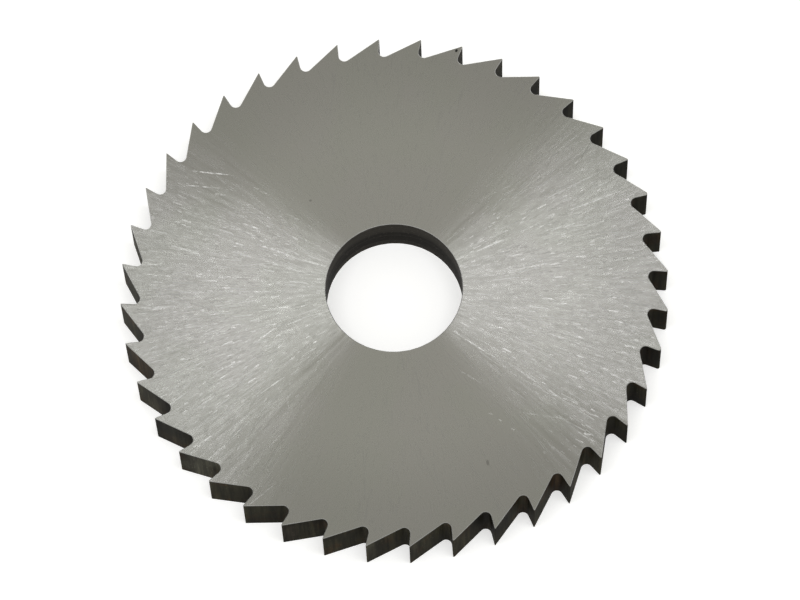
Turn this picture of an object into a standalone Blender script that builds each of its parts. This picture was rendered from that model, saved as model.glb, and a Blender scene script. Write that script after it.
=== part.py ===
"""A solid slitting saw: one ground disc of tool steel with a plain bore and a rim of fine hooked teeth.

The blank is turned about its bore, dished slightly on both faces, and the milled tooth outline
then cuts it to its rim. Metres throughout. The origin is on the bore axis at half the thickness,
+Z runs along the bore, and one tooth points along +X. Seen from +Z the saw cuts clockwise.
"""
import math

import bmesh
import bpy
from mathutils import Matrix, Vector

MM = 0.001

# Driving dimensions of the disc
OUTSIDE_RADIUS = 16.0 * MM
RIM_THICKNESS = 3.0 * MM
BORE_RADIUS = 4.0 * MM
BORE_CHAMFER = 0.03 * MM

# Both faces are flat round the bore, where the arbor's collars clamp, and from there each one
# rises to the rim in a very shallow cone, so that the sides of the saw don't rub in the slot
CLAMP_LAND_RADIUS = 7.0 * MM
DISH_DEPTH = 0.02 * MM

# Driving dimensions of the teeth. The rake leans the cutting face back from the radius, and the
# back angle is the one between a tooth's back and the tangent at its tip
TOOTH_COUNT = 40
RAKE_ANGLE = math.radians(7.0)
BACK_ANGLE = math.radians(33.4)
GULLET_RADIUS = 0.34 * MM
# The arc at the bottom takes at most this share of the shorter wall, so that a tooth always
# keeps a straight face and a straight back
ARC_SHARE_OF_WALL = 0.9

# How finely the round stretches are divided
GULLET_STEPS = 8
TURNING_STEPS_PER_TOOTH = 4

# The blank is turned this much larger than the finished saw, and the cutter stands this much
# proud of both its faces, so that the cut leaves no skin
BLANK_ALLOWANCE = 0.5 * MM
CUTTER_OVERRUN = 1.0 * MM

# Points closer than this are one point
WELD_DISTANCE = 0.001 * MM

# Faces that meet at less than this angle are shaded as one round surface
SMOOTH_ANGLE = math.radians(30.0)


def clear_scene():
    """Remove what the file holds before the saw is made."""
    for obj in list(bpy.data.objects):
        bpy.data.objects.remove(obj, do_unlink=True)


def new_collection(name):
    """A collection under the scene's own, for one kind of object."""
    collection = bpy.data.collections.new(name)
    bpy.context.scene.collection.children.link(collection)
    return collection


def ground_steel():
    """Bare ground tool steel: a neutral grey metal with a satin lustre."""
    material = bpy.data.materials.new("ground_steel")
    material.use_nodes = True
    shader = material.node_tree.nodes["Principled BSDF"]
    shader.inputs["Base Color"].default_value = (0.56, 0.56, 0.54, 1.0)
    shader.inputs["Metallic"].default_value = 1.0
    shader.inputs["Roughness"].default_value = 0.38
    return material


def half_thickness(radius):
    """Half of the disc's thickness on the dished part of its faces, at this distance from the axis."""
    slope = DISH_DEPTH / (OUTSIDE_RADIUS - CLAMP_LAND_RADIUS)
    return RIM_THICKNESS / 2 - slope * (OUTSIDE_RADIUS - radius)


def blank_profile():
    """The blank's section as (radius, height), from the bore's upper mouth out, down and back."""
    blank_radius = OUTSIDE_RADIUS + BLANK_ALLOWANCE
    land = half_thickness(CLAMP_LAND_RADIUS)
    upper = [
        (BORE_RADIUS, land - BORE_CHAMFER),
        (BORE_RADIUS + BORE_CHAMFER, land),
        (CLAMP_LAND_RADIUS, land),
        (blank_radius, half_thickness(blank_radius)),
    ]
    lower = [(radius, -height) for radius, height in reversed(upper)]
    return upper + lower


def turned_blank():
    """Turn the section once round the bore axis."""
    mesh = bpy.data.meshes.new("blank_profile")
    bm = bmesh.new()
    corners = [bm.verts.new((radius, 0.0, height)) for radius, height in blank_profile()]
    for index, corner in enumerate(corners):
        bm.edges.new((corners[index - 1], corner))
    bm.to_mesh(mesh)
    bm.free()
    blank = bpy.data.objects.new("slitting_saw", mesh)
    turning = blank.modifiers.new("turning", "SCREW")
    turning.axis = "Z"
    turning.angle = math.tau
    turning.steps = TOOTH_COUNT * TURNING_STEPS_PER_TOOTH
    turning.render_steps = turning.steps
    turning.use_merge_vertices = True
    turning.merge_threshold = WELD_DISTANCE
    return blank


def tooth_and_space():
    """The tip of the tooth on +X, then the arc at the bottom of the space that follows it.

    The tooth's back runs straight down into the space, and the cutting face of the next tooth
    runs straight up out of it. The arc joins the two walls, turning clockwise.
    """
    pitch = Matrix.Rotation(math.tau / TOOTH_COUNT, 2)
    tip = Vector((OUTSIDE_RADIUS, 0.0))
    down_back = Vector((-math.sin(BACK_ANGLE), math.cos(BACK_ANGLE)))
    down_face = pitch @ Vector((-math.cos(RAKE_ANGLE), math.sin(RAKE_ANGLE)))
    # Lengths of the two walls down to the corner where they would meet
    span = pitch @ tip - tip
    crossing = down_back.cross(down_face)
    back_length = span.cross(down_face) / crossing
    face_length = span.cross(down_back) / crossing
    corner = tip + down_back * back_length
    # The arc touches each wall at the same setback from the corner
    half_corner = down_back.angle(down_face) / 2
    longest_setback = ARC_SHARE_OF_WALL * min(back_length, face_length)
    setback = min(GULLET_RADIUS / math.tan(half_corner), longest_setback)
    to_centre = setback / math.cos(half_corner)
    centre = corner - (down_back + down_face).normalized() * to_centre
    first = corner - down_back * setback - centre
    sweep = 2 * half_corner - math.pi
    arc = [
        centre + Matrix.Rotation(sweep * step / GULLET_STEPS, 2) @ first
        for step in range(GULLET_STEPS + 1)
    ]
    return [tip] + arc


def tooth_outline():
    """The saw's rim seen from above: one tooth and its space, repeated all the way round."""
    one_tooth = tooth_and_space()
    turns = [Matrix.Rotation(math.tau * index / TOOTH_COUNT, 2) for index in range(TOOTH_COUNT)]
    return [turn @ point for turn in turns for point in one_tooth]


def tooth_cutter(collection):
    """The tooth outline as a thick plate, which the blank is cut down to."""
    curve = bpy.data.curves.new("tooth_outline", "CURVE")
    curve.dimensions = "2D"
    curve.fill_mode = "BOTH"
    curve.extrude = RIM_THICKNESS / 2 + CUTTER_OVERRUN
    points = tooth_outline()
    spline = curve.splines.new("POLY")
    spline.points.add(len(points) - 1)
    for knot, point in zip(spline.points, points):
        knot.co = (point.x, point.y, 0.0, 1.0)
    spline.use_cyclic_u = True
    outline = bpy.data.objects.new("tooth_outline", curve)
    collection.objects.link(outline)

    depsgraph = bpy.context.evaluated_depsgraph_get()
    plate = bpy.data.meshes.new_from_object(outline.evaluated_get(depsgraph))
    bm = bmesh.new()
    bm.from_mesh(plate)
    bmesh.ops.remove_doubles(bm, verts=bm.verts, dist=WELD_DISTANCE)
    bmesh.ops.recalc_face_normals(bm, faces=bm.faces)
    bm.to_mesh(plate)
    bm.free()
    cutter = bpy.data.objects.new("tooth_cutter", plate)
    cutter.matrix_world = outline.matrix_world
    cutter.hide_render = True
    cutter.display_type = "WIRE"
    collection.objects.link(cutter)
    bpy.data.objects.remove(outline, do_unlink=True)
    return cutter


def freeze(obj):
    """Give an object the shape that its modifiers make, shaded smooth between its real edges."""
    depsgraph = bpy.context.evaluated_depsgraph_get()
    mesh = bpy.data.meshes.new_from_object(obj.evaluated_get(depsgraph))
    obj.modifiers.clear()
    obj.data = mesh
    mesh.shade_smooth()
    mesh.set_sharp_from_angle(angle=SMOOTH_ANGLE)


def make_saw():
    """Turn the blank, mill the teeth round its rim and give it its steel."""
    saw_parts = new_collection("slitting_saw")
    cutters = new_collection("cutters")
    saw = turned_blank()
    saw_parts.objects.link(saw)
    milling = saw.modifiers.new("milling", "BOOLEAN")
    milling.operation = "INTERSECT"
    milling.solver = "EXACT"
    milling.object = tooth_cutter(cutters)
    freeze(saw)
    saw.data.materials.clear()
    saw.data.materials.append(ground_steel())
    return saw


clear_scene()
slitting_saw = make_saw()
print("slitting saw:", len(slitting_saw.data.polygons), "faces")
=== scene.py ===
# %% [markdown]
# # A slitting saw for metal
#
# The saw is one ground disc of tool steel. It has a plain bore, forty milled teeth and two faces
# that are dished so slightly that the eye doesn't see it. This lesson dresses the plain CAD saw:
# it makes the disc again with its edges broken and its tips worn, and gives it the three surfaces
# that a real one has, which are ground faces, dark tooth spaces and a dark bore.
#
# The first cell loads the CAD model as a fixed frame. Everything is in metres in that frame, so
# nothing has to be fitted afterwards. The CAD box is kept.

import math

import bpy
from mathutils import Matrix, Vector


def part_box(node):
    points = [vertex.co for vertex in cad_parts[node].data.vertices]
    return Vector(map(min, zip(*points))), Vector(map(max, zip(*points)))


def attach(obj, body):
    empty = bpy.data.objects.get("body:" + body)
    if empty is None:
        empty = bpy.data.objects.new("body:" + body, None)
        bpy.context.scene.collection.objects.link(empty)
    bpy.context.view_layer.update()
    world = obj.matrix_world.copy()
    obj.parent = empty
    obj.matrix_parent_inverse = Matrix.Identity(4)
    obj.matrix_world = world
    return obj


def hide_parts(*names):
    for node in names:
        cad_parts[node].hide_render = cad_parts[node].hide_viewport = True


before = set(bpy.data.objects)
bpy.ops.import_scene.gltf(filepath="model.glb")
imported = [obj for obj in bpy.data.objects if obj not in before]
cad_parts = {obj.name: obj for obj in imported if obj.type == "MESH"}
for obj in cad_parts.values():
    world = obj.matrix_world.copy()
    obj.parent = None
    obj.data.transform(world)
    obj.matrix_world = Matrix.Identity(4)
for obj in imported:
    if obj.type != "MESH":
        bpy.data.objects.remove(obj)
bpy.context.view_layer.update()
MM = 0.001

# %% [markdown]
# ## Node trees as expressions
#
# A long formula is easier to read as Python than as a web of Math nodes. `Value` wraps one socket
# and gives it Python's operators, each of which adds the Math node that does the same. Anything
# that isn't arithmetic comes from one method, `Bench.node`, which takes the node's type, then its
# settings, then what goes into its sockets. `Bench` has short names for the few kinds that come up
# all the time. Both classes serve geometry and materials alike.

# %% One socket's value, with arithmetic


def find_socket(sockets, key):
    """A socket by its place, its identifier or its name."""
    if isinstance(key, int):
        return sockets[key]
    for socket in sockets:
        if socket.identifier == key:
            return socket
    return sockets[key]


def plug(socket, value):
    """Link a node's value into a socket, or set the socket to a plain value."""
    if isinstance(value, Value):
        socket.id_data.links.new(value.socket, socket)
    else:
        socket.default_value = value


def maths(operation, *operands):
    """One Math node on these operands, in the tree that the first linked one is in."""
    linked = next(operand for operand in operands if isinstance(operand, Value))
    node = linked.socket.id_data.nodes.new("ShaderNodeMath")
    node.operation = operation
    for socket, operand in zip(node.inputs, operands):
        plug(socket, operand)
    return Value(node.outputs[0])


class Value:
    """The value on one socket. Arithmetic on it adds Math nodes."""

    def __init__(self, socket):
        self.socket = socket

    def __add__(self, other):
        return maths("ADD", self, other)

    __radd__ = __add__

    def __sub__(self, other):
        return maths("SUBTRACT", self, other)

    def __rsub__(self, other):
        return maths("SUBTRACT", other, self)

    def __mul__(self, other):
        return maths("MULTIPLY", self, other)

    __rmul__ = __mul__

    def __truediv__(self, other):
        return maths("DIVIDE", self, other)

    def __rtruediv__(self, other):
        return maths("DIVIDE", other, self)

    def __mod__(self, other):
        return maths("MODULO", self, other)

    def __lt__(self, other):
        return maths("LESS_THAN", self, other)

    def __gt__(self, other):
        return maths("GREATER_THAN", self, other)

    def __abs__(self):
        return maths("ABSOLUTE", self)


print("arithmetic is ready")

# %% Any other node


class Bench:
    """A node tree that is being written."""

    def __init__(self, tree):
        self.tree = tree

    def node(self, kind, settings=None, values=None, take=0):
        """Add a node and return the outputs named in take, one as it is and several as a tuple."""
        node = self.tree.nodes.new(kind)
        for name, setting in (settings or {}).items():
            if name == "items":
                while len(node.index_switch_items) < setting:
                    node.index_switch_items.new()
            else:
                setattr(node, name, setting)
        for key, value in (values or {}).items():
            plug(find_socket(node.inputs, key), value)
        if isinstance(take, tuple):
            return tuple(Value(find_socket(node.outputs, key)) for key in take)
        return Value(find_socket(node.outputs, take)) if take is not None else node

    def vector(self, x, y, z):
        """Three numbers as one vector."""
        return self.node("ShaderNodeCombineXYZ", values={"X": x, "Y": y, "Z": z})

    def vector_maths(self, operation, *operands, take=0):
        """One Vector Math node on these operands."""
        values = dict(enumerate(operands))
        return self.node("ShaderNodeVectorMath", {"operation": operation}, values, take)

    def length(self, vector):
        """How long a vector is."""
        return self.vector_maths("LENGTH", vector, take="Value")

    def scaled(self, vector, factor):
        """A vector times a number."""
        values = {"Vector": vector, "Scale": factor}
        return self.node("ShaderNodeVectorMath", {"operation": "SCALE"}, values)

    def turned(self, vector, angle):
        """A vector turned about Z."""
        values = {"Vector": vector, "Angle": angle}
        return self.node("ShaderNodeVectorRotate", {"rotation_type": "Z_AXIS"}, values)

    def parts(self, vector, take=("X", "Y", "Z")):
        """The numbers that a vector is made of, or only those named in take."""
        return self.node("ShaderNodeSeparateXYZ", values={0: vector}, take=take)

    def noise(self, vector, scale, detail):
        """Soft noise from 0 to 1, mostly near the middle."""
        values = {"Vector": vector, "Scale": scale, "Detail": detail}
        return self.node("ShaderNodeTexNoise", values=values)


print("the bench is ready")

# %% [markdown]
# ## The disc and its teeth
#
# The rim follows one rule. From each tip the tooth's back runs straight down into the space, an
# arc turns at the bottom, and the cutting face of the next tooth runs straight up, leaning back
# from the radius by the rake. So the rim is a many-cornered star with its corners rounded, and
# Geometry Nodes can make it from a circle of twice as many points as teeth. A hand-modelled tooth
# in an array would do too, but here one number changes the rake of all forty.
#
# The first cell names the sizes. The disc's own are measured on the CAD model.

# %% Sizes of the saw
saw_low, saw_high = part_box("slitting_saw")
SIZES = {
    "Teeth": 40,
    "Outside radius": saw_high.x,
    "Rake": math.radians(7.0),
    "Back angle": math.radians(33.4),
    "Gullet radius": 0.34 * MM,
    "Gullet steps": 10,
    "Sharpest tip": 0.03 * MM,
    "Bluntest tip": 0.05 * MM,
    "Worn tip": 0.12 * MM,
    "Tip steps": 3,
    "Broken edge": 0.03 * MM,
    "Rim thickness": saw_high.z - saw_low.z,
    "Dish": 0.02 * MM,
    "Root ring": 14.0 * MM,
    "Middle ring": 10.5 * MM,
    "Land radius": 7.0 * MM,
    "Bore radius": 4.0 * MM,
    "Bore chamfer": 0.03 * MM,
    "Lag of the rings": math.radians(2.5),
    "Smooth below": math.radians(30.0),
    "Seed": 5,
}
FINISHES = ("Face finish", "Tooth finish", "Bore finish")
print(len(SIZES), "sizes and", len(FINISHES), "finishes")

# %% The tree and its named inputs
disc = Bench(bpy.data.node_groups.new("toothed disc", "GeometryNodeTree"))
disc.tree.is_modifier = True
for name in ("Geometry", *SIZES, *FINISHES):
    kind = "NodeSocketMaterial" if name in FINISHES else "NodeSocketFloat"
    if name == "Geometry":
        kind = "NodeSocketGeometry"
    elif isinstance(SIZES.get(name), int):
        kind = "NodeSocketInt"
    disc.tree.interface.new_socket(name, in_out="INPUT", socket_type=kind)
disc.tree.interface.new_socket("Geometry", in_out="OUTPUT", socket_type="NodeSocketGeometry")
names = (*SIZES, *FINISHES)
given = dict(zip(names, disc.node("NodeGroupInput", take=names)))
print("inputs:", ", ".join(names))

# %% [markdown]
# ### The corners of the star
#
# Even points of the circle become tips and odd ones the corners where a back and the next cutting
# face would meet. That corner has a closed form. With pitch p, rake g and back angle b, the back
# is R (sin g + sin(p - g)) / cos(b - p + g) long, and it leaves the tip at angle b to the tangent.

# %% Blunt teeth
# Teeth counted anticlockwise from the one on +X, and how worn each is, from 0 to 1
WORN_TEETH = {36: 0.35, 38: 1.0, 39: 1.0, 0: 0.6, 1: 0.5, 2: 0.9}
print(len(WORN_TEETH), "teeth are blunter than the rest")

# %% Tips and corners
index = disc.node("GeometryNodeInputIndex")
position = disc.node("GeometryNodeInputPosition")
pitch = math.tau / given["Teeth"]
corners = given["Teeth"] * 2
is_corner = index % 2
tooth = maths("FLOOR", index / 2)
wear = 0.0
for number, amount in WORN_TEETH.items():
    wear = (abs(tooth - number) < 0.5) * (1 - is_corner) * amount + wear
worn_radius = wear * given["Worn tip"]

rake = given["Rake"]
back_angle = given["Back angle"]
outside = given["Outside radius"]
turn = pitch - rake
sines = maths("SINE", rake) + maths("SINE", turn)
back_length = outside * sines / maths("COSINE", back_angle - turn)
down_back = is_corner * back_length
# A worn tip is rounded back to the outside radius from a little beyond it
BEYOND_PER_RADIUS = 0.97
beyond = BEYOND_PER_RADIUS * worn_radius
tip_or_corner = disc.vector(
    outside - down_back * maths("SINE", back_angle) + beyond * maths("COSINE", rake),
    down_back * maths("COSINE", back_angle) - beyond * maths("SINE", rake),
    0.0,
)
star_point = disc.turned(tip_or_corner, tooth * pitch)
ring = disc.node("GeometryNodeCurvePrimitiveCircle", values={"Resolution": corners})
star = disc.node("GeometryNodeSetPosition", values={"Geometry": ring, "Position": star_point})
print("the star has", 2 * SIZES["Teeth"], "points")

# %% [markdown]
# ### Two outlines
#
# A ground edge isn't knife-sharp: a stone has taken a hair off it. That little facet needs two
# outlines, the full one on the walls and one set in by the facet's width on the faces. Each corner
# is set in along its bisector, and then rounded: wide in the gullets, and by a few hundredths of a
# millimetre at the tips, where each tooth has its own wear.

# %% The outline, set in by a distance


def at_corner(step):
    """Where the star's next or last corner is."""
    place = (index + corners + step) % corners
    settings = {"data_type": "FLOAT_VECTOR", "domain": "POINT"}
    return disc.node("GeometryNodeFieldAtIndex", settings, {"Value": position, "Index": place})


def rim_outline(inset):
    """The rounded outline of the teeth, set in from the true one by this much."""
    ways = [
        disc.vector_maths("NORMALIZE", disc.vector_maths("SUBTRACT", at_corner(step), position))
        for step in (-1, 1)
    ]
    middle = disc.vector_maths("NORMALIZE", disc.vector_maths("ADD", *ways))
    # The walls move in by the inset when their corner moves by the inset over this sine
    sine = disc.length(disc.vector_maths("CROSS_PRODUCT", middle, ways[1]))
    offset = disc.scaled(middle, (1 - 2 * is_corner) * inset / sine)
    moved = disc.node("GeometryNodeSetPosition", values={"Geometry": star, "Offset": offset})
    fresh_radius = disc.node(
        "FunctionNodeRandomValue",
        {"data_type": "FLOAT"},
        {
            "Min_001": given["Sharpest tip"],
            "Max_001": given["Bluntest tip"],
            "ID": tooth,
            "Seed": given["Seed"],
        },
        take="Value_001",
    )
    tip_radius = maths("MAXIMUM", fresh_radius, worn_radius)
    rounding = is_corner * (given["Gullet radius"] + inset) + (1 - is_corner) * (tip_radius - inset)
    steps = is_corner * given["Gullet steps"] + (1 - is_corner) * given["Tip steps"]
    return disc.node(
        "GeometryNodeFilletCurve",
        {"mode": "POLY"},
        {"Curve": moved, "Count": steps, "Radius": rounding, "Limit Radius": True},
    )


broken_edge = given["Broken edge"]
wall_outline = rim_outline(0.0)
face_outline = rim_outline(broken_edge)
print("two outlines,", round(SIZES["Broken edge"] / MM, 3), "mm apart")

# %% [markdown]
# ### One net over the whole saw
#
# The disc is closed by one net. Its columns go round the outline, and its rows go up the rim,
# inwards over the upper face, down the bore and back out below. Each row is a ring: the outline
# itself, the outline set in, or a plain circle. A filled curve would give long thin triangles, and
# the net gives clean quads. The circles lag a little behind the teeth, so that no column
# leaves the steel in front of a cutting face.

# %% Rows and columns
RINGS = 7
point_count = disc.node(
    "GeometryNodeAttributeDomainSize",
    {"component": "CURVE"},
    {"Geometry": wall_outline},
    take="Point Count",
)
net = disc.node(
    "GeometryNodeMeshGrid",
    values={
        "Size X": point_count,
        "Size Y": 2.0 * RINGS,
        "Vertices X": point_count + 1,
        "Vertices Y": 2 * RINGS + 1,
    },
)
grid_x, grid_y = disc.parts(position, take=("X", "Y"))
column = maths("ROUND", grid_x + point_count / 2) % point_count
row = maths("ROUND", grid_y + RINGS) % (2 * RINGS)
is_upper = row < RINGS - 0.5
ring_number = is_upper * row + (1 - is_upper) * (2 * RINGS - 1 - row)
side = 2 * is_upper - 1
print("rows:", 2 * RINGS)

# %% Where each ring lies


def from_outline(outline, value, kind):
    """A value of the outline at this column's point."""
    settings = {"data_type": kind, "domain": "POINT"}
    values = {"Geometry": outline, "Value": value, "Index": column}
    return disc.node("GeometryNodeSampleIndex", settings, values)


def half_thickness(radius):
    """Half of the thickness at this distance from the axis: flat land, then a shallow cone."""
    past_land = maths("MAXIMUM", radius - given["Land radius"], 0.0)
    slope = given["Dish"] / (outside - given["Land radius"])
    return given["Rim thickness"] / 2 - given["Dish"] + slope * past_land


along = disc.node("GeometryNodeSplineParameter", take="Factor")
angle = from_outline(wall_outline, along, "FLOAT") * math.tau + given["Lag of the rings"]


def circle_point(radius, drop=0.0):
    """The point of a plain circle on the face, or let down into the bore by a drop."""
    return disc.vector(
        radius * maths("COSINE", angle),
        radius * maths("SINE", angle),
        half_thickness(radius) - drop,
    )


def outline_point(outline, height=None):
    """The point of an outline, at this height or else on the dished face."""
    point = from_outline(outline, position, "FLOAT_VECTOR")
    x, y = disc.parts(point, take=("X", "Y"))
    if height is None:
        height = half_thickness(disc.length(point))
    return disc.vector(x, y, height)


rings = [
    outline_point(wall_outline, given["Rim thickness"] / 2 - broken_edge),
    outline_point(face_outline),
    circle_point(given["Root ring"]),
    circle_point(given["Middle ring"]),
    circle_point(given["Land radius"]),
    circle_point(given["Bore radius"] + given["Bore chamfer"]),
    circle_point(given["Bore radius"], given["Bore chamfer"]),
]
print("rings from the rim to the bore:", len(rings))

# %% The net laid on the rings
chosen = disc.node(
    "GeometryNodeIndexSwitch",
    {"data_type": "VECTOR", "items": RINGS},
    {"Index": ring_number, **{f"Item_{number}": point for number, point in enumerate(rings)}},
)
mirrored = disc.vector_maths("MULTIPLY", chosen, disc.vector(1.0, 1.0, side))
laid = disc.node("GeometryNodeSetPosition", values={"Geometry": net, "Position": mirrored})
# The first and last columns and rows lie on each other, so this closes the net
MERGE_DISTANCE = 0.0001 * MM
closed = disc.node(
    "GeometryNodeMergeByDistance", values={"Geometry": laid, "Distance": MERGE_DISTANCE}
)
print("points closer than", MERGE_DISTANCE / MM, "mm are one")

# %% [markdown]
# ### Sharp edges and finishes
#
# Faces that meet at a real edge are shaded apart, and the rest as one round surface. The walls of
# the teeth and the bore stand upright, which is how their faces are found. The facets of the
# broken edges keep the finish of the faces, because they are bright steel too.

# %% Shading and the three finishes
corner_angle = disc.node("GeometryNodeInputMeshEdgeAngle", take="Unsigned Angle")
edged = disc.node(
    "GeometryNodeStoreNamedAttribute",
    {"data_type": "BOOLEAN", "domain": "EDGE"},
    {"Geometry": closed, "Name": "sharp_edge", "Value": corner_angle > given["Smooth below"]},
)
shaded = disc.node("GeometryNodeSetShadeSmooth", values={"Geometry": edged})
realized = disc.node("GeometryNodeRealizeInstances", values={"Geometry": shaded})

# A face whose normal has less than this along Z is a wall
UPRIGHT_BELOW = 0.5
normal =disc.node("GeometryNodeInputNormal")
is_wall = abs(disc.parts(normal, take="Z")) < UPRIGHT_BELOW
is_in_bore = disc.length(position) < given["Land radius"]
finished = realized
for finish, where in (
    ("Face finish", None),
    ("Tooth finish", is_wall * (1 - is_in_bore)),
    ("Bore finish", is_wall * is_in_bore),
):
    values = {"Geometry": finished, "Material": given[finish]}
    if where is not None:
        values["Selection"] = where
    finished = disc.node("GeometryNodeSetMaterial", values=values)
disc.node("NodeGroupOutput", values={"Geometry": finished}, take=None)
print("nodes in the tree:", len(disc.tree.nodes))

# %% [markdown]
# ## Ground faces
#
# Both faces are ground, and the wheel leaves scratches that run from the bore to the rim. They
# spread every reflection sideways, along the circumference, which draws the bright bow-tie that
# turns with the light. An anisotropic metal whose tangent runs round the axis does just that.
#
# The scratches that the eye can tell apart are added on top. They could be painted lighter, but
# then they'd show in the dark sectors too, where real ones don't. So they lean the surface, and
# the light finds them: the bright sectors sparkle while the dark ones stay calm. All of it is
# written in the piece's own millimetres, so the pattern stays on the steel when the view turns.

# %% A material to write in


def new_finish(name):
    """An empty material and the bench to write its nodes on."""
    material = bpy.data.materials.new(name)
    material.use_nodes = True
    material.node_tree.nodes.clear()
    return material, Bench(material.node_tree)


def place_in_mm(bench):
    """The place on the piece, in millimetres."""
    return bench.scaled(bench.node("ShaderNodeTexCoord", take="Object"), 1 / MM)


def ramp(bench, value, start, end, low=0.0, high=1.0):
    """A soft step of a value, from low at start to high at end."""
    return bench.node(
        "ShaderNodeMapRange",
        {"interpolation_type": "SMOOTHSTEP"},
        {"Value": value, "From Min": start, "From Max": end, "To Min": low, "To Max": high},
    )


ground, steel = new_finish("ground_steel_faces")
place_mm = place_in_mm(steel)
flat_place = steel.vector_maths("MULTIPLY", place_mm, (1.0, 1.0, 0.0))
x_mm, y_mm, height_mm = steel.parts(place_mm)
radius_mm = maths("SQRT", x_mm * x_mm + y_mm * y_mm)
turn_angle = maths("ARCTAN2", y_mm, x_mm)
is_upper_face = height_mm > 0.0
print("nodes for the coordinates:", len(steel.tree.nodes))

# %% [markdown]
# ### Three kinds of scratch
#
# The finest are too close to tell apart, and read as a soft hatch: noise in polar coordinates,
# drawn out along the radius. Above them lie single dashes of five sizes. A Voronoi texture scatters
# them, one to a cell, and its random colour gives each its turn, its depth and the side to which it
# leans. Few reach full depth, so a handful glint and the rest only roughen the grey.

# %% Noise drawn out into a soft hatch
# The radii in mm at which the lines of the inner and of the outer set have their stated width, and
# the radii between which one set fades into the other
SET_RADII = (6.0, 12.0)
FADE_RADII = (7.0, 10.0)
# How far apart in the noise the two faces lie, for each mm of height
FACES_APART = 7.0


def hatch(width, length, seed):
    """Fine lines from bore to rim, from -0.5 to 0.5, of this width and length in mm.

    Lines of one angular width would be four times as wide at the rim as at the bore. So two sets
    are drawn, one for the inner and one for the outer half, and each fades into the other.
    """
    sets = []
    for set_radius in SET_RADII:
        fineness = set_radius / width
        lines = steel.vector(
            maths("COSINE", turn_angle) * fineness,
            maths("SINE", turn_angle) * fineness,
            radius_mm / length + height_mm * FACES_APART + seed,
        )
        sets.append(steel.noise(lines, 1.0, 1.0))
    outer = ramp(steel, radius_mm, *FADE_RADII)
    return sets[0] * (1 - outer) + sets[1] * outer - 0.5


short_hatch = hatch(0.13, 0.36, 3.0)
long_hatch = hatch(0.16, 1.60, 11.0)
streaks = hatch(0.20, 3.20, 23.0)
print("nodes with three soft hatches:", len(steel.tree.nodes))

# %% Single scratches
AXIS = (0.0, 0.0, 1.0)
# How far the upper face's pattern is moved in mm, so that it isn't the lower one's
UPPER_FACE_SHIFT = 40.0
# How far a scratch may lie from the middle of its cell, from 0 to 1
SCATTER = 0.8
# The share of its half length at which a scratch begins to fade out
FADE_FROM = 0.6
# The share of the scratches that are too shallow to be seen at all
SHALLOW_SHARE = 0.35


def dashes(cell, half_length, half_width, spread, seed):
    """Straight scratches, one to a cell: the way each one faces sideways, its depth and its lean.

    Each scratch has its own chances of a turn from the radius, of a depth and of a lean.
    """
    shift = steel.vector(seed + UPPER_FACE_SHIFT * is_upper_face, 3.0 * seed, 0.0)
    shifted = steel.vector_maths("ADD", flat_place, shift)
    spot, chance = steel.node(
        "ShaderNodeTexVoronoi",
        {"voronoi_dimensions": "2D", "feature": "F1"},
        {"Vector": shifted, "Scale": 1.0 / cell, "Randomness": SCATTER},
        take=("Position", "Color"),
    )
    middle = steel.vector_maths("SUBTRACT", spot, shift)
    first, second, third = steel.node("ShaderNodeSeparateColor", None, {0: chance}, take=(0, 1, 2))
    run = steel.turned(steel.vector_maths("NORMALIZE", middle), (first - second) * spread)
    sideways = steel.vector_maths("CROSS_PRODUCT", AXIS, run)
    away = steel.vector_maths("SUBTRACT", flat_place, middle)
    along = abs(steel.vector_maths("DOT_PRODUCT", away, run, take="Value")) / half_length
    across = steel.vector_maths("DOT_PRODUCT", away, sideways, take="Value") / half_width
    inside = maths("MAXIMUM", 1 - across * across, 0.0) * ramp(steel, along, 1.0, FADE_FROM)
    depth = inside * ramp(steel, third, SHALLOW_SHARE, 1.0)
    # The later digits of the second chance serve as a fourth
    side_lean = maths("FRACT", second * 7.0) - 0.5
    return sideways, depth, side_lean


print(round(100 * SHALLOW_SHARE), "% of the scratches are too shallow to be seen")

# %% Sizes of the single scratches
# Cell, half length and half width in mm, spread of the turn, lean and seed
DASHES = (
    (0.30, 0.16, 0.052, 0.10, 0.38, 2.0),
    (0.55, 0.38, 0.053, 0.12, 0.34, 14.0),
    (1.00, 0.75, 0.058, 0.16, 0.22, 5.0),
    (1.60, 1.20, 0.058, 0.22, 0.18, 9.0),
    (3.20, 2.20, 0.050, 0.60, 0.27, 21.0),
)
print(len(DASHES), "sizes of single scratches")

# %% The leaning surface
# How far the two finest hatches lean the surface
SHORT_HATCH_SLOPE = 0.15
LONG_HATCH_SLOPE = 0.16
# The scratches show their wider shine in soft patches, and this much of it in between
LEAST_SHARE = 0.4

round_way = steel.vector_maths("NORMALIZE", steel.vector_maths("CROSS_PRODUCT", AXIS, place_mm))
slope = SHORT_HATCH_SLOPE * short_hatch + LONG_HATCH_SLOPE * long_hatch
lean = steel.scaled(round_way, slope)
patches = steel.noise(place_mm, 0.6, 2.0)
share = ramp(steel, patches, 0.42, 0.60, LEAST_SHARE, 1.0)
furrow = 0.0
for cell, half_length, half_width, spread, tilt, seed in DASHES:
    sideways, depth, side_lean = dashes(cell, half_length, half_width, spread, seed)
    lean = steel.vector_maths("ADD", lean, steel.scaled(sideways, depth * side_lean * tilt))
    furrow = maths("MAXIMUM", depth * share, furrow)
print("the surface leans in", len(DASHES), "sizes of scratch and two hatches")

# %% [markdown]
# ### The marks of this one saw
#
# Some scratches of the upper face are deep enough to know it by, most of them across the grinding
# at the left and below the bore at the right. They're written down one by one. A Mapping node lays
# each one's own oval over the face, and its wall leans far enough towards the near side to glint.
# A slow noise breaks it into beads, because a grit skips as it scores. A few small pits are dark
# ovals laid in the same way.

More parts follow.
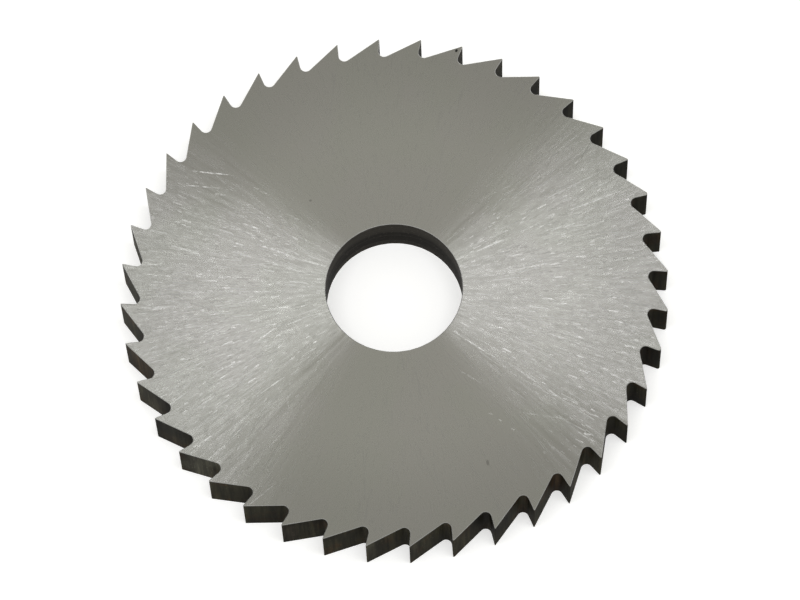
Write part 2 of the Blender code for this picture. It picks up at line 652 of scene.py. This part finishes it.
# %% Scratches and pits of the upper face
# Middle in mm, half length and half width in mm, direction in degrees, depth
SCRATCHES = (
    (4.27, -3.71, 1.40, 0.060, -38.3, 0.80),
    (4.45, -3.86, 0.70, 0.060, -37.6, 0.20),
    (4.15, -5.87, 0.90, 0.060, -36.0, 0.60),
    (6.13, -5.35, 1.32, 0.055, -44.2, 0.35),
    (7.16, -5.78, 1.50, 0.055, -41.1, 0.45),
    (9.34, -7.48, 1.20, 0.055, -24.4, 0.36),
    (5.15, -8.19, 0.16, 0.060, -20.3, 1.00),
    (5.64, -8.60, 0.16, 0.062, -40.0, 0.62),
    (6.34, -9.20, 0.16, 0.060, -31.6, 1.00),
    (8.06, -10.74, 0.16, 0.085, -35.9, 1.00),
    (10.61, -9.79, 0.25, 0.095, -20.5, 1.00),
    (10.16, -10.18, 0.28, 0.060, -28.5, 0.65),
    (12.91, -2.96, 0.30, 0.060, -18.5, 1.00),
    (9.76, -1.62, 0.25, 0.055, -3.8, 0.70),
    (7.90, 0.79, 1.50, 0.055, 8.6, 0.70),
    (5.73, 2.30, 0.91, 0.055, 22.3, 0.85),
    (8.51, 3.45, 1.51, 0.055, 25.1, 0.12),
    (12.10, 4.77, 2.00, 0.055, 18.3, 1.00),
    (5.97, 5.52, 1.74, 0.050, 22.3, 0.28),
    (-10.23, 7.90, 1.45, 0.050, -9.8, 0.80),
    (-10.90, 7.08, 1.30, 0.050, -9.0, 0.58),
    (-9.90, 6.52, 0.50, 0.050, -10.1, 0.35),
    (-7.50, 6.62, 0.75, 0.050, -32.0, 0.50),
    (-7.86, 5.47, 0.96, 0.050, -36.6, 0.65),
    (-5.51, 4.72, 0.75, 0.050, -30.1, 0.46),
    (-8.16, 4.39, 0.75, 0.060, -24.2, 0.70),
    (-7.36, 3.01, 0.37, 0.060, -25.5, 0.52),
    (-6.56, 2.66, 1.10, 0.065, -24.2, 0.85),
    (-4.89, 1.93, 0.80, 0.065, -21.4, 0.88),
    (-9.36, 1.24, 1.10, 0.050, -8.6, 0.36),
    (-14.13, -0.45, 0.80, 0.085, -5.9, 1.00),
    (-7.45, -2.40, 0.70, 0.055, 35.1, 0.70),
    (-11.41, -8.82, 0.62, 0.060, 31.9, 1.00),
    (-7.32, -9.06, 0.73, 0.050, 45.6, 0.30),
)
PITS = (
    (-4.60, 5.80, 0.10, 0.08, 20.0, 0.3),
    (4.78, -11.17, 0.20, 0.10, 95.0, 0.30),
    (4.53, 14.92, 0.12, 0.09, 60.0, 0.90),
)
print(len(SCRATCHES), "scratches and", len(PITS), "pits")

# %% An oval for each mark
# How steeply a mark's edge rises to its flat middle
SCRATCH_EDGE = 2.5
PIT_EDGE = 3.0


def oval(x, y, half_length, half_width, degrees, edge):
    """An oval on the upper face that rises from 0 at its edge to a flat middle of 1."""
    own_place = steel.node(
        "ShaderNodeMapping",
        {"vector_type": "TEXTURE"},
        {
            "Vector": flat_place,
            "Location": (x, y, 0.0),
            "Rotation": (0.0, 0.0, math.radians(degrees)),
            "Scale": (half_length, half_width, 1.0),
        },
    )
    inside = maths("MAXIMUM", 1 - steel.length(own_place), 0.0) * is_upper_face
    return maths("MINIMUM", inside * edge, 1.0)


print("a scratch's edge takes", round(100 / SCRATCH_EDGE), "% of its half width")

# %% The marks laid on the face
# How far the deepest scratch leans the surface
GLINT_SLOPE = 0.26

beads =steel.noise(place_mm, 3.2, 0.0)
broken = ramp(steel, beads, 0.30, 0.68, 0.30, 0.95)
for x, y, half_length, half_width, degrees, strength in SCRATCHES:
    whole = oval(x, y, half_length, half_width, degrees, SCRATCH_EDGE)
    deep = whole * broken * strength
    direction = math.radians(degrees)
    facing = (math.sin(direction), -math.cos(direction), 0.0)
    steepness = GLINT_SLOPE / math.cos(direction)
    lean = steel.vector_maths("ADD", lean, steel.scaled(facing, deep * steepness))
    furrow = maths("MAXIMUM", deep, furrow)
pitted = 0.0
for x, y, half_length, half_width, degrees, strength in PITS:
    hole = oval(x, y, half_length, half_width, degrees, PIT_EDGE)
    pitted = maths("MAXIMUM", hole * strength, pitted)
upright = steel.node("ShaderNodeNewGeometry", take="Normal")
scratched = steel.vector_maths("NORMALIZE", steel.vector_maths("ADD", upright, lean))
print("nodes with every scratch and pit:", len(steel.tree.nodes))

# %% [markdown]
# ### Colour and shine
#
# The bare steel is a neutral grey that drifts a little with its film of oil, and a painted shade
# darkens it slightly towards the rim. Its shine is the sum of three lobes. Two are narrow, with the
# grinding turned a few degrees either way, since no wheel runs exactly along the radius. A long
# streaky hatch deals the surface out between them, which frays the edges of the bow-tie. The third
# is wider and lies only in the deeper scratches, so that they catch light from further round than
# the face does.

# %% The steel's colour


def opaque(colour):
    """A plain colour with its alpha, or a linked one as it is."""
    return colour if isinstance(colour, Value) else (*colour, 1.0)


def tint(bench, share, first, second):
    """One colour turning into another with a share from 0 to 1."""
    values = {"Factor_Float": share, "A_Color": opaque(first), "B_Color": opaque(second)}
    return bench.node("ShaderNodeMix", {"data_type": "RGBA"}, values, take="Result_Color")


OILED_STEEL = (0.502, 0.503, 0.480)
DRY_STEEL = (0.507, 0.502, 0.488)
# How bright the steel is painted at the rim, against the middle: a painted shade
PAINTED_RIM_SHADE = 0.855

clouds = steel.noise(place_mm, 0.22, 2.0)
drifting = tint(steel, ramp(steel, clouds, 0.4, 0.6), OILED_STEEL, DRY_STEEL)
# Painted shade darkens the colour towards the rim, and the pits are darker
painted_rim_shade_and_pits = ramp(steel, radius_mm, 8.5, 15.5, 1.0, PAINTED_RIM_SHADE) * (1 - pitted)
colour = steel.scaled(drifting, painted_rim_shade_and_pits)
print("the colour drifts a little over the face")

# %% The steel's shader
tangent = steel.node("ShaderNodeTangent", {"direction_type": "RADIAL", "axis": "Z"})


def ground_lobe(skew, roughness, colour):
    """Bare ground steel whose scratches are turned from the radius by this angle."""
    return steel.node(
        "ShaderNodeBsdfPrincipled",
        None,
        {
            "Base Color": colour,
            "Metallic": 1.0,
            "Roughness": roughness,
            "Anisotropic": 1.0,
            # In whole turns, counted the other way round
            "Anisotropic Rotation": (-math.radians(skew) / math.tau) % 1.0,
            "Tangent": tangent,
            "Normal": scratched,
        },
    )


GROUND_ROUGHNESS = 0.26
FURROW_ROUGHNESS = 0.40
FURROW_BRIGHTNESS = 1.05
# How far the grinding is turned from the radius, in degrees
LEAST_SKEW = -4.5
MOST_SKEW = 7.5
# The share that is turned the most near the bore and near the rim, and how the streaks vary it
BORE_SHARE = 0.28
RIM_SHARE = 0.74
STREAKINESS = 1.35
skew_share = ramp(steel, radius_mm, 6.0, 14.0, BORE_SHARE, RIM_SHARE) + STREAKINESS * streaks
ground_shader = steel.node(
    "ShaderNodeMixShader",
    None,
    {
        0: skew_share,
        1: ground_lobe(LEAST_SKEW, GROUND_ROUGHNESS, colour),
        2: ground_lobe(MOST_SKEW, GROUND_ROUGHNESS, colour),
    },
)
furrow_lobe = ground_lobe(0.0, FURROW_ROUGHNESS, steel.scaled(colour, FURROW_BRIGHTNESS))
lobes = {0: furrow, 1: ground_shader, 2: furrow_lobe}
steel_shader = steel.node("ShaderNodeMixShader", None, lobes)
steel.node("ShaderNodeOutputMaterial", None, {"Surface": steel_shader}, take=None)
print("nodes in the ground finish:", len(steel.tree.nodes))

# %% [markdown]
# ## Dark walls
#
# The teeth were milled before the saw was hardened, and nobody ground their walls afterwards. They
# keep the dark skin of the furnace, brownish in places. That skin is an oxide and no metal, so it
# is a rough dark shader with next to no gloss. The cutter ran along the bore axis and left upright
# marks. They're noise that is squeezed to almost nothing along Z, for the shade and for a bump.

# %% Tooth walls
# Squeezed along Z, noise is drawn out into upright marks
UPRIGHT_STRETCH = (1.0, 1.0, 0.06)

tooth_finish, walls = new_finish("hardened_tooth_walls")
wall_place = walls.node("ShaderNodeTexCoord", take="Object")
wall_run = walls.vector_maths("MULTIPLY", wall_place, UPRIGHT_STRETCH)
# The place is in metres here, and so the scales of the noise are large
cutter_marks = walls.noise(wall_run, 5200.0, 2.0)
broad_marks = walls.noise(wall_run, 1400.0, 1.0)
mottle = walls.noise(wall_place, 650.0, 3.0)
grain = walls.noise(wall_place, 9000.0, 1.0)
patch = walls.noise(wall_place, 240.0, 1.0)
bands = ramp(walls, cutter_marks, 0.34, 0.66, 0.5, 1.5)
shade = 0.3 + 1.3 * broad_marks * bands + 1.4 * ramp(walls, grain, 0.64, 0.78)
shade = shade * ramp(walls, patch, 0.3, 0.7, 0.5, 1.7)
print("the skin is shaded by cutter marks, patches and grain")

# %% [markdown]
# The furnace didn't treat every space alike. At the left a few backs came out greyer, and some
# spots are rusty. They're listed tooth by tooth: each is a soft ball round a point of the back, and
# what lies inside takes the other colour. Noise frays the balls' edges, so that none looks round.

# %% Grey and rusty backs
# Tooth, distance down its back in mm, reach in mm, share of grey and share of rust
STAINS = (
    (21, 1.2, 1.3, 0.00, 0.8),
    (22, 1.0, 1.2, 0.50, 0.3),
    (23, 1.2, 1.0, 0.36, 0.0),
    (24, 1.3, 1.4, 1.00, 0.0),
    (27, 0.5, 0.5, 0.50, 0.9),
    (29, 0.2, 0.8, 0.50, 0.0),
    (30, 0.2, 0.7, 0.32, 0.0),
    (33, 2.6, 0.8, 0.00, 1.0),
)
DARK_SKIN = (0.0165, 0.0150, 0.0088)
RUSTY_SKIN = (0.0250, 0.0155, 0.0075)
GREY_SKIN = (0.0430, 0.0410, 0.0305)
# How far noise frays a stain's edge, as a share of its reach
FRAYING = 1.2
# Squeezed along Z, a ball is taller than it's wide
STAIN_STRETCH = (1.0, 1.0, 0.3)

greyness = 0.0
rust = 0.0
along_back = Vector((-math.sin(SIZES["Back angle"]), math.cos(SIZES["Back angle"]), 0.0))
squat_place = walls.vector_maths("MULTIPLY", wall_place, STAIN_STRETCH)
for tooth_number, down, reach_mm, grey_share, rust_share in STAINS:
    to_tooth = Matrix.Rotation(math.tau * tooth_number / SIZES["Teeth"], 3, "Z")
    spot = to_tooth @ (Vector((SIZES["Outside radius"], 0.0, 0.0)) + along_back * down * MM)
    gap = walls.vector_maths("DISTANCE", squat_place, tuple(spot), take="Value") / (reach_mm * MM)
    near = ramp(walls, gap + FRAYING * (mottle - 0.5), 1.0, 0.4)
    greyness = maths("MAXIMUM", near * grey_share, greyness)
    rust = maths("MAXIMUM", near * rust_share, rust)
aged = maths("MAXIMUM", ramp(walls, mottle, 0.50, 0.66) * 0.7, rust)
skin = tint(walls, greyness, tint(walls, aged, DARK_SKIN, RUSTY_SKIN), GREY_SKIN)
print(len(STAINS), "grey or rusty backs")

# %% The walls' shader
OXIDE_ROUGHNESS = 0.6
OXIDE_GLOSS = 0.02
CUTTER_MARK_DEPTH = 0.006 * MM


def coat_with_oxide(bench, colour, marks, depth):
    """Finish a material as a rough dark oxide, with these marks cut into it this deep."""
    relief = bench.node(
        "ShaderNodeBump", None, {"Strength": 1.0, "Distance": depth, "Height": marks}
    )
    oxide = bench.node(
        "ShaderNodeBsdfPrincipled",
        None,
        {
            "Base Color": colour,
            "Roughness": OXIDE_ROUGHNESS,
            "Specular IOR Level": OXIDE_GLOSS,
            "Normal": relief,
        },
    )
    bench.node("ShaderNodeOutputMaterial", None, {"Surface": oxide}, take=None)


wall_marks = cutter_marks + 0.6 * broad_marks
coat_with_oxide(walls, walls.scaled(skin, shade), wall_marks, CUTTER_MARK_DEPTH)
print("nodes in the tooth walls' finish:", len(walls.tree.nodes))

# %% [markdown]
# ### The bore
#
# The bore was turned before hardening, so it's as dark as the tooth spaces. Its tool marks run
# round it, which is noise drawn out round the axis and squeezed along it. The wall is painted
# paler towards both faces than in its middle, as painted light and shade in the hole, and a
# painted highlight lies along the upper mouth.

# %% Bore wall
BORE_SKIN = (0.0440, 0.0400, 0.0345)
TURNING_MARK_DEPTH = 0.004 * MM
RING_STRETCH = (0.12, 0.12, 9.0)

bore_finish, bore = new_finish("hardened_bore")
bore_place = place_in_mm(bore)
bore_height = bore.parts(bore_place, take="Z")
ring_run = bore.vector_maths("MULTIPLY", bore_place, RING_STRETCH)
turning_marks = bore.noise(ring_run, 1.0, 2.0)
drift = bore.noise(bore_place, 0.35, 1.0)
level = bore_height + 0.7 * (drift - 0.5)
# Painted light and shade: paler towards both faces, darkest in the middle of the hole
painted_upper_light = ramp(bore, level, 0.05, 0.65)
painted_lower_light = ramp(bore, level, -0.75, -1.05)
# A painted highlight along the upper mouth
painted_mouth_highlight = ramp(bore, bore_height, 1.34, 1.45)
specks = bore.noise(bore_place, 6.5, 1.0)
# The bore's tone: painted light and shade, turning marks, the painted highlight at the mouth and
# specks
bore_marks_and_painted_light = 0.52 + 0.66 * painted_upper_light + 0.45 * painted_lower_light + 1.1 * (turning_marks - 0.5)
bore_marks_and_painted_light = bore_marks_and_painted_light + 0.9 * painted_mouth_highlight + 1.0 * ramp(bore, specks, 0.62, 0.76)
bore_colour = bore.scaled(BORE_SKIN, bore_marks_and_painted_light)
coat_with_oxide(bore, bore_colour, turning_marks, TURNING_MARK_DEPTH)
print("nodes in the bore's finish:", len(bore.tree.nodes))

# %% [markdown]
# ## The saw from its tree
#
# The tree becomes a Geometry Nodes modifier on an empty mesh. Each of its inputs is set by the
# socket's identifier, because names can repeat. Then the evaluated result is kept as a plain mesh
# and the modifier goes, so that anyone can open, export or slice the saw without the tree. It
# replaces the CAD solid in the picture and rides on the same body.

# %% The finished saw
seed_mesh = bpy.data.meshes.new("slitting_saw_dressed")
saw = bpy.data.objects.new("slitting_saw_dressed", seed_mesh)
bpy.context.scene.collection.objects.link(saw)
making = saw.modifiers.new("toothed disc", "NODES")
making.node_group = disc.tree
materials = dict(zip(FINISHES, (ground, tooth_finish, bore_finish)))
for item in disc.tree.interface.items_tree:
    if item.in_out == "INPUT" and item.name != "Geometry":
        making[item.identifier] = {**SIZES, **materials}[item.name]
depsgraph = bpy.context.evaluated_depsgraph_get()
mesh = bpy.data.meshes.new_from_object(saw.evaluated_get(depsgraph))
saw.modifiers.clear()
saw.data = mesh
mesh.materials.pop(index=0)
print("saw:", len(mesh.vertices), "points and", len(mesh.polygons), "faces")
print("finishes:", [material.name for material in mesh.materials])
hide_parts("slitting_saw")
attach(saw, "root")

# %% [markdown]
# ## Floor, light and camera
#
# The saw lies on a sheet of white paper. Paper under a soft light is a pale grey, and to wash it
# out with more light would wash out the steel too. So the paper glows a little, but only for rays
# from the camera or off a shiny surface, and the saw's soft shadow stays on it.

# %% Floor
PAPER_WHITE = (0.9, 0.9, 0.9, 1.0)
GLOW_COLOUR = (1.0, 1.0, 1.0, 1.0)
GLOW = 0.46
FLOOR_REACH = 3.0

paper, sheet = new_finish("white_paper")
rays = sheet.node("ShaderNodeLightPath", take=("Is Camera Ray", "Is Glossy Ray"))
glow = maths("MAXIMUM", *rays) * GLOW
white = sheet.node("ShaderNodeBsdfDiffuse", None, {"Color": PAPER_WHITE})
lift = sheet.node("ShaderNodeEmission", None, {"Color": GLOW_COLOUR, "Strength": glow})
both = sheet.node("ShaderNodeAddShader", None, {0: white, 1: lift})
sheet.node("ShaderNodeOutputMaterial", None, {"Surface": both}, take=None)
quarters = ((-1, -1), (1, -1), (1, 1), (-1, 1))
sheet_corners = [(FLOOR_REACH * x, FLOOR_REACH * y, saw_low.z) for x, y in quarters]
floor_mesh = bpy.data.meshes.new("floor")
floor_mesh.from_pydata(sheet_corners, [], [(0, 1, 2, 3)])
floor_mesh.materials.append(paper)
floor = bpy.data.objects.new("floor", floor_mesh)
bpy.context.scene.collection.objects.link(floor)
print("floor at", round(saw_low.z / MM, 2), "mm")

# %% [markdown]
# ### The room
#
# The dark sectors of the face show the room. A metal that spreads its reflections sideways sees a
# whole band of it, so the room is a plain grey overhead and paler near the horizon, with nothing in
# it that would draw a line on the steel. To the camera it's white.

# %% World
HORIZON = (0.8, 0.8, 0.8)
OVERHEAD = (0.5, 0.492, 0.44)
BACKDROP = (1.0, 1.0, 1.0)

world = bpy.data.worlds.new("studio")
world.use_nodes = True
world.node_tree.nodes.clear()
bpy.context.scene.world = world
room = Bench(world.node_tree)
way = room.node("ShaderNodeTexCoord", take="Generated")
tone = tint(room, ramp(room, room.parts(way, take="Z"), 0.1, 0.7), HORIZON, OVERHEAD)
is_seen = room.node("ShaderNodeLightPath", take="Is Camera Ray")
shown = tint(room, is_seen, tone, BACKDROP)
surroundings = room.node("ShaderNodeBackground", None, {"Color": shown, "Strength": 1.0})
room.node("ShaderNodeOutputWorld", None, {"Surface": surroundings}, take=None)
print("nodes in the room:", len(room.tree.nodes))

# %% [markdown]
# ### One softbox
#
# The bow-tie is the reflection of one wide and shallow softbox overhead. Its place decides where
# the bright sectors lie, its width how far they open, and its depth how softly they end. Radiance
# is what the steel mirrors, so the lamp's power is worked out from it and from the lamp's area.

# %% Softbox
SOFTBOX_PLACE = (0.0, -0.125, 1.0)
SOFTBOX_WIDTH = 0.84
SOFTBOX_DEPTH = 0.20
SOFTBOX_RADIANCE = 6.6
SOFTBOX_COLOUR = (0.99, 1.0, 1.03)

softbox_light = bpy.data.lights.new("softbox", "AREA")
softbox_light.shape = "RECTANGLE"
softbox_light.size = SOFTBOX_WIDTH
softbox_light.size_y = SOFTBOX_DEPTH
softbox_light.energy = SOFTBOX_RADIANCE * math.pi * SOFTBOX_WIDTH * SOFTBOX_DEPTH
softbox_light.color = SOFTBOX_COLOUR
softbox = bpy.data.objects.new("softbox", softbox_light)
softbox.location = SOFTBOX_PLACE
bpy.context.scene.collection.objects.link(softbox)
print("softbox power:", round(softbox_light.energy, 2), "W")

# %% [markdown]
# ### The camera
#
# A long lens from high in front keeps the disc nearly round and shows its thickness on the near
# side. The viewing angle is given as elevation, azimuth and roll, and the camera stands back from
# its target by a fixed distance, so that each can be changed alone.

# %% Camera
ELEVATION = math.radians(68.102)
ROLL = math.radians(-2.757)
AZIMUTH = math.radians(-0.587)
DISTANCE = 275.95 * MM
TARGET = Vector((0.316, -0.813, 1.5)) * MM
FOCAL_LENGTH_MM = 213.4
SENSOR_WIDTH_MM = 36.0
NEAREST_SEEN = 0.01

camera_data = bpy.data.cameras.new("camera")
camera_data.lens = FOCAL_LENGTH_MM
camera_data.sensor_width = SENSOR_WIDTH_MM
camera_data.clip_start = NEAREST_SEEN
camera = bpy.data.objects.new("camera", camera_data)
right = Vector((1, 0, 0))
back = Vector((0, -math.cos(ELEVATION), math.sin(ELEVATION)))
axes = Matrix((right, back.cross(right), back)).transposed()
swing = Matrix.Rotation(AZIMUTH, 3, "Z")
facing_saw = swing @ axes @ Matrix.Rotation(ROLL, 3, "Z")
where = swing @ (TARGET + back * DISTANCE)
camera.matrix_world = Matrix.Translation(where) @ facing_saw.to_4x4()
bpy.context.scene.collection.objects.link(camera)
bpy.context.scene.camera = camera
bpy.context.scene.view_settings.view_transform = "Standard"
print("camera at", [round(value / MM, 1) for value in where])
